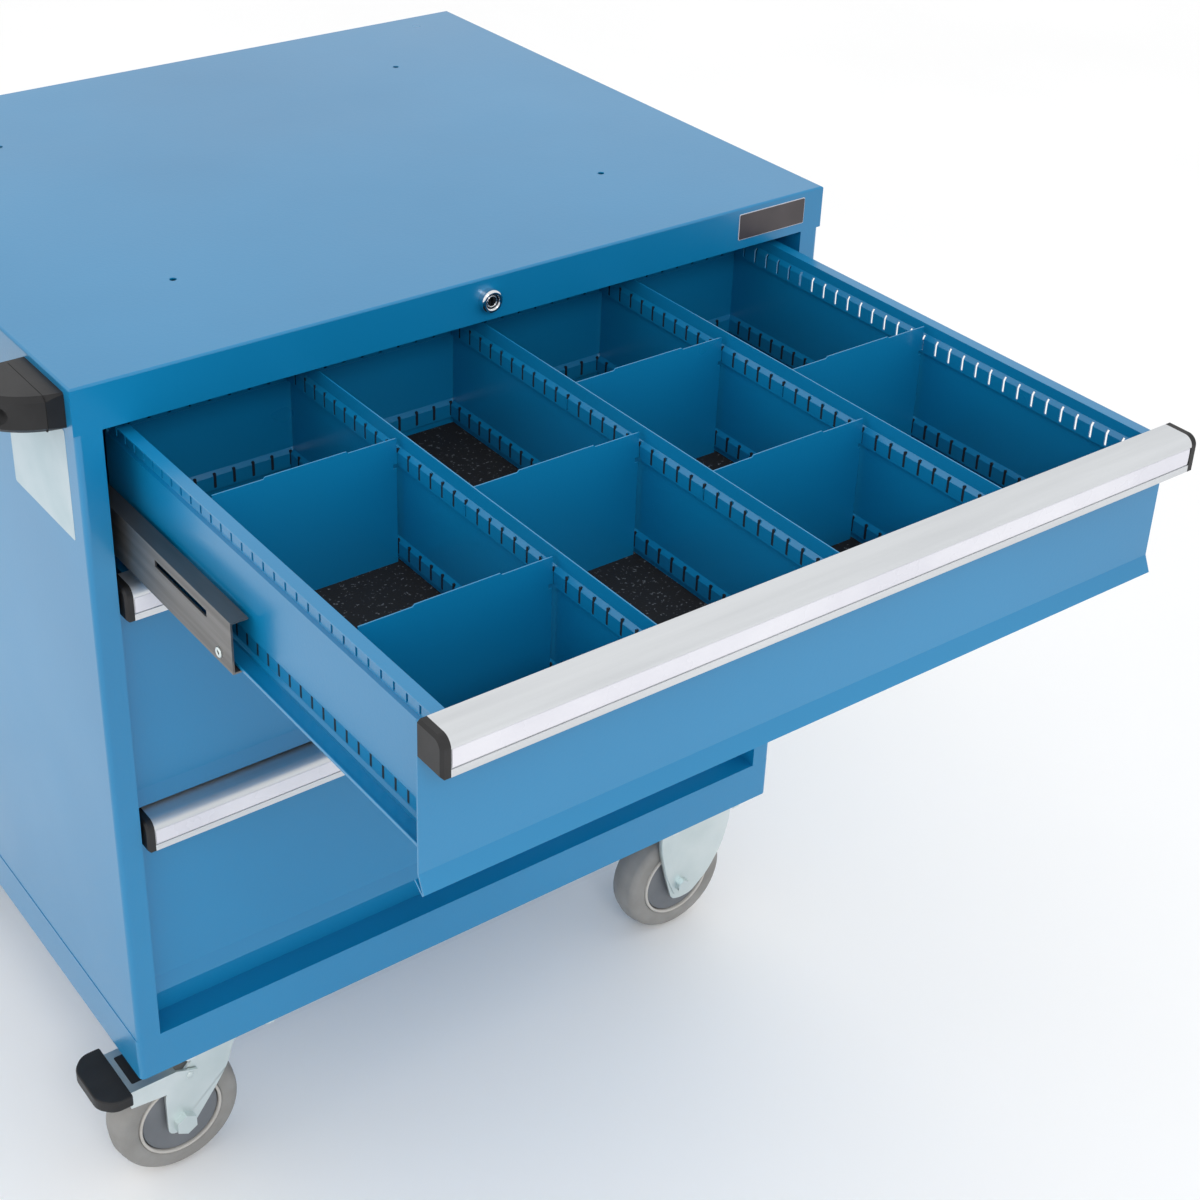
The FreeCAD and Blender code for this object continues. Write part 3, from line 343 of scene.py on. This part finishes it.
# Divider slots, punched through the pressed beads of walls and partitions, with their dark drawn
# as painted shade:
# the lower rows of the top drawer and all rows of the lower ones are dark marks through the
# sheet, painted as the shade seen through the slots, and the real slots in the partitions' upper
# rows get dark plates sunk in them, also painted shade.
slot_half = 0.0012
slot_rounding = 0.0008
mark_proud = 0.0001
side_slots = 30
side_pitch = 0.01505
side_first_y = -0.262475
back_slots_each_way = 17
back_pitch = 0.0172
back_sheet = (0.1870, 0.1884)
side_sheets = [(-0.3082, -0.3070), (0.3070, 0.3082)]
tray_back = 0.2212
row_edge = 0.0100
row_end = 0.0232
partition_middles = (-0.1548, 0.0, 0.1548)
partition_half = 0.0005
shade_plate_inset = 0.0004
# Near-black colour of the painted shade in the slots.
painted_slot_shade, slot_shader = new_material("slot_shadow", 0.85)
noise_colour(painted_slot_shade, slot_shader, (0.002, 0.006, 0.012), (0.005, 0.014, 0.026), 60.0)


def slot_row(low, high, shift, sheets):
    """Dark marks of painted shade for slots of one height in upright sheets, each given by its
    nearest and farthest X.
    """
    marks = []
    for step in range(side_slots):
        y = side_first_y + side_pitch * step + shift
        outline = eased_box(y - slot_half, y + slot_half, low, high, slot_rounding)
        marks += [(outline, "x", near - mark_proud, far + mark_proud) for near, far in sheets]
    return marks


def back_row(low, high, shift):
    """Dark marks of painted shade for slots of one height in the tray's back wall, the middle one
    at X zero.
    """
    marks = []
    for step in range(-back_slots_each_way, back_slots_each_way + 1):
        x = back_pitch * step
        outline = eased_box(x - slot_half, x + slot_half, low, high, slot_rounding)
        marks.append((outline, "y", shift + back_sheet[0], shift + back_sheet[1]))
    return marks


for number in ("1", "2", "3"):
    low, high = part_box("drawer_tray_" + number)
    shift = high[1] - tray_back
    lower_row = (low[2] + row_edge, low[2] + row_end)
    upper_row = (high[2] - row_end, high[2] - row_edge)
    marks = slot_row(*lower_row, shift, side_sheets) + back_row(*lower_row, shift)
    if number == "1":
        sheets = [(x - partition_half, x + partition_half) for x in partition_middles]
        # Plates sunk inside the partitions' real slots, painted shade where the slots look dark.
        shade_plates = [(near + shade_plate_inset, far - shade_plate_inset) for near, far in sheets]
        marks += slot_row(*lower_row, shift, sheets) + slot_row(*upper_row, shift, shade_plates)
    else:
        marks += slot_row(*upper_row, shift, side_sheets) + back_row(*upper_row, shift)
    name = "slot_shade_marks_" + number
    add_object(name, extruded(name, marks), painted_slot_shade, "drawer_" + number)

# Handles: aluminium extrusions along the top of each front, matt anodised, with draw marks along
# their length, and a black moulded cap pushed on each end.
handle_edge = 0.0004
aluminium, alu_shader = new_material("matt_anodised_aluminium", 0.38, 0.75)
noise_colour(aluminium, alu_shader, (0.58, 0.60, 0.62), (0.68, 0.70, 0.72), 60.0, (0.05, 1, 1))
noise_roughness(aluminium, alu_shader, 0.32, 0.46, 120.0, (0.03, 1, 1))
noise_bump(aluminium, alu_shader, 900.0, 0.00002, (0.02, 1, 1))
black_plastic, black_shader = new_material("black_moulded_plastic", 0.42)
noise_colour(black_plastic, black_shader, (0.010, 0.010, 0.011), (0.018, 0.018, 0.019), 30.0)
noise_roughness(black_plastic, black_shader, 0.36, 0.5, 25.0)
noise_bump(black_plastic, black_shader, 900.0, 0.00005)
black_shader.inputs["Specular IOR Level"].default_value = 0.32
for number in ("1", "2", "3"):
    paint(aluminium, "drawer_handle_" + number)
    paint(black_plastic, "handle_ends_" + number)
    soften(handle_edge, 2, "drawer_handle_" + number, "handle_ends_" + number)

# Push handle: moulded black elbows screwed to the cap's side, with the seam of the base block
# round each of them drawn as a thin dark rim of painted shade, and a black tube between them.
elbow_radius = 0.0028
block_length = 0.069
seam_proud = 0.0001
seam_rounding = 0.0036
seam_sides = (-0.3728, -0.3723)
paint(black_plastic, "handle_brackets", "handle_tube")
soften(elbow_radius, 4, "handle_brackets")
# A dark plate behind each base block, a little larger than it, paints the shade in its seam.
painted_seam_shade, seam_shader = new_material("seam_shadow", 0.9)
noise_colour(painted_seam_shade, seam_shader, (0.002, 0.002, 0.002), (0.005, 0.005, 0.005), 80.0)
low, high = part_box("handle_brackets")
seams = []
for start, end in ((low[1], low[1] + block_length), (high[1] - block_length, high[1])):
    outline = eased_box(start - seam_proud, end + seam_proud, low[2] - seam_proud,
                        high[2] + seam_proud, seam_rounding)
    seams.append((outline, "x", *seam_sides))
add_object("bracket_seam_shade", extruded("bracket_seam_shade", seams), painted_seam_shade, "cabinet")

# Label strips: strips of pale plastic, cut to the handle's length and slid into the channel
# of each handle from its end, left blank.
strip_from_top = 0.0085
strip_height = 0.0142
strip_short = 0.001
label_white, label_shader = new_material("pale_label_plastic", 0.28)
noise_colour(label_white, label_shader, (0.66, 0.66, 0.72), (0.74, 0.74, 0.79), 12.0)
noise_roughness(label_white, label_shader, 0.22, 0.34, 40.0)
noise_bump(label_white, label_shader, 500.0, 0.00002)
for number in ("1", "2", "3"):
    low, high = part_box("drawer_handle_" + number)
    face_y = low[1]
    top = high[2] - strip_from_top
    bottom = top - strip_height
    outline = [(face_y + 0.0009, bottom), (face_y + 0.0004, bottom + 0.0006),
               (face_y + 0.0002, bottom + 0.004), (face_y + 0.0002, top - 0.004),
               (face_y + 0.0004, top - 0.0006), (face_y + 0.0009, top)]
    name = "label_strip_" + number
    strip = extruded(name, [(outline, "x", low[0] + strip_short, high[0] - strip_short)])
    add_object(name, strip, label_white, "drawer_" + number)

# Badge plate on the cap's front and sticker on the left side: a thin dark plate with a pale
# raised edge, glued on and left without words, and a piece of plain pale paper.
plate_edge = (0.262, 0.337, 0.803, 0.827)
plate_face = (0.2626, 0.3364, 0.8036, 0.8264)
edge_thickness = 0.0005
plate_thickness = 0.0009
paper_face = (-0.2835, -0.1735, 0.697, 0.791)
paper_thickness = 0.0002
badge_dark, badge_shader = new_material("dark_badge_plate", 0.35)
noise_colour(badge_dark, badge_shader, (0.045, 0.036, 0.039), (0.062, 0.050, 0.054), 30.0)
noise_roughness(badge_dark, badge_shader, 0.28, 0.42, 60.0)
paper, paper_shader = new_material("pale_sticker_paper", 0.5)
noise_colour(paper, paper_shader, (0.43, 0.55, 0.60), (0.50, 0.60, 0.65), 20.0)
noise_bump(paper, paper_shader, 700.0, 0.00002)
front_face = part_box("cap")[0][1]
side_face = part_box("left_side")[0][0]
edge = [(eased_box(*plate_edge, 0.0015), "y", front_face - edge_thickness, front_face)]
add_object("badge_edge", extruded("badge_edge", edge), label_white, "cabinet")
plate = [(eased_box(*plate_face, 0.0012), "y", front_face - plate_thickness, front_face)]
add_object("badge_plate", extruded("badge_plate", plate), badge_dark, "cabinet")
sticker = [(eased_box(*paper_face, 0.002), "x", side_face - paper_thickness, side_face)]
add_object("side_sticker", extruded("side_sticker", sticker), paper, "cabinet")

# Swivel casters on the left: plates, forks and brake levers pressed from sheet and zinc plated,
# bolted under the base. The fork turns on a ball race under a turned cover, and the lever is
# riveted to the fork and ends in a black plastic foot pad with a pressed-in insert.
caster_places = (("front", -0.2575), ("back", 0.2575))
fork_outside = 0.0245
fork_inside = 0.0215
fork_edge = 0.0007
crown_levels = (0.1427, 0.1457)
kingpin_x = -0.267
lever_pin_x, lever_pin_z = -0.304, 0.118
lever_side = 0.0278
pad_half = 0.035
pad_levels = (0.1205, 0.1325)
insert_half = 0.019
insert_levels = (0.1288, 0.12915)
paint(zinc, "swivel_plates", "kingpins", "caster_bolts")
for end, caster_y in caster_places:
    paint(zinc, "swivel_axle_" + end, "brake_lever_" + end)
    soften(0.0010, 2, "swivel_axle_" + end, "brake_lever_" + end)
soften(0.0008, 2, "swivel_plates", "caster_bolts")


def add_bevelled(name, solids, material, body, width, segments):
    """Extruded piece with rounded edges."""
    piece = add_object(name, extruded(name, solids), material, body)
    bevel = piece.modifiers.new("soft_edges", "BEVEL")
    bevel.width = width
    bevel.segments = segments
    bevel.limit_method = "ANGLE"
    bevel.angle_limit = math.radians(50)
    return piece


def fork_legs(outline, caster_y):
    """The two legs of a fork, one on each side of its wheel."""
    return [(outline, "y", caster_y - fork_outside, caster_y - fork_inside),
            (outline, "y", caster_y + fork_inside, caster_y + fork_outside)]


def fork_crown(x0, x1, caster_y):
    """Outline of the sheet that joins a fork's legs above the wheel."""
    return eased_box(x0, x1, caster_y - fork_outside, caster_y + fork_outside, 0.001)


swivel_leg = eased([(-0.300, 0.1457, 0.001), (-0.300, 0.1297, 0.006), (-0.328, 0.106, 0.010),
                    (-0.328, 0.052, 0.009), (-0.304, 0.052, 0.008), (-0.273, 0.094, 0.012),
                    (-0.265, 0.108, 0.006), (-0.257, 0.134, 0.008), (-0.234, 0.1377, 0.003),
                    (-0.234, 0.1457, 0.001)])
race = [(0.012, 0.1466), (0.0325, 0.1466), (0.0331, 0.1478), (0.0322, 0.1490),
        (0.0290, 0.1502), (0.0278, 0.1520), (0.0278, 0.1538), (0.012, 0.1538)]
for end, caster_y in caster_places:
    crown = fork_crown(-0.300, -0.234, caster_y)
    name = "pressed_fork_" + end
    fork = add_bevelled(name, fork_legs(swivel_leg, caster_y) + [(crown, "z", *crown_levels)],
                        zinc, "swivel_" + end, fork_edge, 2)
    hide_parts("swivel_fork_" + end)
    name = "race_cover_" + end
    cover = spun(name, race, (kingpin_x, caster_y, 0), "z", 64)
    add_object(name, cover, zinc, "cabinet", smooth=True)
    window = eased_box(-0.356, -0.325, caster_y - insert_half, caster_y + insert_half, 0.0015)
    name = "pad_insert_" + end
    insert = extruded(name, [(window, "z", *insert_levels)])
    add_object(name, insert, black_plastic, "brake_" + end)
    for side, side_name in ((-1, "near"), (1, "far")):
        head = [(0.0, 0.0), (0.0036, 0.0), (0.0034, side * 0.0005), (0.0026, side * 0.0009),
                (0.0, side * 0.0010)]
        name = "lever_rivet_" + side_name + "_" + end
        pin = (lever_pin_x, caster_y + side * lever_side, lever_pin_z)
        add_object(name, spun(name, head, pin, "y", 32), zinc, "brake_" + end, smooth=True)
    near, far = caster_y - pad_half, caster_y + pad_half
    pad = eased([(-0.362, near, 0.002), (-0.362, far, 0.002), (-0.380, far, 0.007),
                 (-0.392, caster_y + 0.022, 0.007), (-0.392, caster_y - 0.022, 0.007),
                 (-0.380, near, 0.007)], 5)
    name = "foot_pad_" + end
    foot = add_bevelled(name, [(pad, "z", *pad_levels)], black_plastic, "brake_" + end, 0.0022, 4)
    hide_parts("brake_pad_" + end)

# Fixed casters on the right: each fork is pressed from sheet in one with its plate, zinc plated
# and bolted under the base. A rib along the edge of both legs stiffens it.
plate_x = 0.283
plate_half_x = 0.0525
plate_half_y = 0.0425
plate_levels = (0.154, 0.157)
rigid_crown_levels = (0.151, 0.154)
rib_reach = (0.0240, 0.0260)
paint(zinc, "rigid_axles")
soften(0.0008, 2, "rigid_axles")
rigid_leg = eased([(0.237, 0.1540, 0.001), (0.237, 0.118, 0.012), (0.246, 0.080, 0.010),
                   (0.256, 0.046, 0.005), (0.267, 0.0425, 0.005), (0.282, 0.0435, 0.006),
                   (0.304, 0.062, 0.010), (0.321, 0.090, 0.010), (0.3295, 0.122, 0.010),
                   (0.329, 0.1540, 0.001)])
rib = eased([(0.2376, 0.152, 0.001), (0.2376, 0.118, 0.010), (0.2466, 0.080, 0.008),
             (0.2590, 0.050, 0.003), (0.2650, 0.052, 0.003), (0.2560, 0.082, 0.008),
             (0.2480, 0.118, 0.010), (0.2480, 0.152, 0.001)])
rigid_sheets = []
for end, caster_y in caster_places:
    crown = fork_crown(0.237, 0.329, caster_y)
    plate = eased_box(plate_x - plate_half_x, plate_x + plate_half_x, caster_y - plate_half_y,
                      caster_y + plate_half_y, 0.009, 6)
    rigid_sheets += fork_legs(rigid_leg, caster_y)
    rigid_sheets += [(crown, "z", *rigid_crown_levels), (plate, "z", *plate_levels)]
    for side, side_name in ((-1, "near"), (1, "far")):
        start, stop = sorted(caster_y + side * reach for reach in rib_reach)
        name = "fork_rib_" + side_name + "_" + end
        add_bevelled(name, [(rib, "y", start, stop)], zinc, "cabinet", 0.0014, 4)
rigid = add_bevelled("pressed_rigid_forks", rigid_sheets, zinc, "cabinet", fork_edge, 2)
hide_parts("rigid_forks")

# Wheels: a tread of grey elastic rubber with round shoulders on a grey-blue nylon core, moulded
# in one, with a bead where the two meet, painted paler than the tread: partly its own colour and
# partly a painted highlight. Each turns on the axle through its fork.
wheel_radius = 0.0625
tread_half = 0.018
shoulder_radius = 0.0085
shoulder_middle = 0.0520
tread, tread_shader = new_material("grey_elastic_tread", 0.7)
noise_colour(tread, tread_shader, (0.22, 0.215, 0.205), (0.29, 0.285, 0.275), 25.0)
noise_bump(tread, tread_shader, 600.0, 0.00015)
hub_plastic, hub_shader = new_material("grey_blue_nylon", 0.45)
noise_colour(hub_plastic, hub_shader, (0.125, 0.136, 0.152), (0.165, 0.177, 0.194), 15.0)
noise_bump(hub_plastic, hub_shader, 500.0, 0.00008)


def rounded_side(half):
    """Tread profile: bead, side, round shoulder and crown, on the positive side."""
    points = [(0.0412, half - 0.0015), (0.0430, half), (0.0480, half + 0.0003)]
    for step in range(7):
        angle = math.radians(90 - 15 * step)
        points.append((shoulder_middle + shoulder_radius * math.cos(angle),
                       half - shoulder_radius + shoulder_radius * math.sin(angle)))
    points += [(0.0617, half - 0.0125), (wheel_radius, 0.0)]
    return points


side_points = rounded_side(tread_half)
tread_profile = side_points + [(radius, -side) for radius, side in side_points[-2::-1]]
core_side = [(0.0055, 0.0175), (0.0130, 0.0175), (0.0135, 0.0165), (0.0370, 0.0165),
             (0.0374, 0.0160), (0.0374, 0.0128), (0.0413, 0.0128)]
core_profile = core_side + [(radius, -side) for radius, side in core_side[::-1]]
bead_side = [(0.0384, 0.0126), (0.0384, 0.0180), (0.0391, 0.0187), (0.0403, 0.0187),
             (0.0412, 0.0181), (0.0412, 0.0126)]
# The bead's pale colour is partly the rubber's own and partly a painted highlight along its
# rounded top.
bead_rubber_and_highlight, bead_shader = new_material("tread_bead_with_painted_highlight", 0.55)
noise_colour(bead_rubber_and_highlight, bead_shader, (0.44, 0.42, 0.39), (0.54, 0.52, 0.49), 30.0)
noise_bump(bead_rubber_and_highlight, bead_shader, 600.0, 0.00008)
for side_name in ("left", "right"):
    for end in ("front", "back"):
        label = side_name + "_" + end
        low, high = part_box("tyre_" + label)
        centre = [(a + b) / 2 for a, b in zip(low, high)]
        body = "wheel_" + label
        ring = spun("tread_" + label, tread_profile, centre)
        ring_object = add_object("tread_" + label, ring, tread, body, smooth=True)
        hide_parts("tyre_" + label)
        disc = spun("hub_" + label, core_profile, centre)
        disc_object = add_object("hub_" + label, disc, hub_plastic, body)
        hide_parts("core_" + label)
        for side, face in ((-1, "near"), (1, "far")):
            profile = [(radius, side * offset) for radius, offset in bead_side]
            name = "tread_bead_" + face + "_" + label
            add_object(name, spun(name, profile, centre), bead_rubber_and_highlight, body, smooth=True)

# Studio: pale matt floor and white surroundings, a broad soft light from the front and a weaker
# one from the left.
floor_reach = 30
floor_material, floor_shader = new_material("pale_floor", 0.6)
noise_colour(floor_material, floor_shader, (0.965, 0.965, 0.965), (0.985, 0.985, 0.985), 1.5)
floor_mesh = bpy.data.meshes.new("floor")
corners = [(x * floor_reach, y * floor_reach, 0) for x, y in ((-1, -1), (1, -1), (1, 1), (-1, 1))]
floor_mesh.from_pydata(corners, [], [(0, 1, 2, 3)])
floor = bpy.data.objects.new("floor", floor_mesh)
floor_mesh.materials.append(floor_material)
bpy.context.scene.collection.objects.link(floor)
floor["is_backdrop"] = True

world = bpy.data.worlds.new("white_room")
bpy.context.scene.world = world
world.use_nodes = True
world.node_tree.nodes["Background"].inputs["Color"].default_value = (1.0, 1.0, 1.0, 1)
world.node_tree.nodes["Background"].inputs["Strength"].default_value = 1.0


def soft_light(name, place, target, size, power):
    """Rectangular light that points at a target, as a soft box does."""
    light = bpy.data.lights.new(name, "AREA")
    light.shape = "RECTANGLE"
    light.size = size[0]
    light.size_y = size[1]
    light.energy = power
    lamp = bpy.data.objects.new(name, light)
    lamp.location = place
    lamp.rotation_euler = (Vector(target) - Vector(place)).to_track_quat("-Z", "Y").to_euler()
    bpy.context.scene.collection.objects.link(lamp)


soft_light("key", (-1.2, -3.3, 3.1), (0, -0.2, 0.5), (1.3, 0.9), 30)
soft_light("side", (-3.6, 0.6, 1.6), (0, 0, 0.5), (2.4, 2.4), 12)

# Camera: at the photo's angle, from the cabinet's front left and above. The focal length is in
# pixels of the 1200 pixel picture, and the shift is the least that the photo's framing needs.
focal_pixels = 2065.9
picture_pixels = 1200
sensor_width = 36.0
bpy.context.scene.view_settings.view_transform = "Standard"
camera_data = bpy.data.cameras.new("camera")
camera_data.sensor_width = sensor_width
camera_data.lens = focal_pixels / picture_pixels * sensor_width
camera_data.shift_x = 0.05
camera_data.shift_y = -0.1
camera_data.clip_start = 0.05
camera_data.clip_end = 100
camera = bpy.data.objects.new("camera", camera_data)
turn = (Matrix.Rotation(math.radians(-36.16), 4, "Z")
        @ Matrix.Rotation(math.radians(60.18), 4, "X")
        @ Matrix.Rotation(math.radians(1.37), 4, "Z"))
camera.matrix_world = Matrix.Translation((-0.8515, -1.5450, 1.5102)) @ turn
bpy.context.scene.collection.objects.link(camera)
bpy.context.scene.camera = camera

low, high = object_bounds()
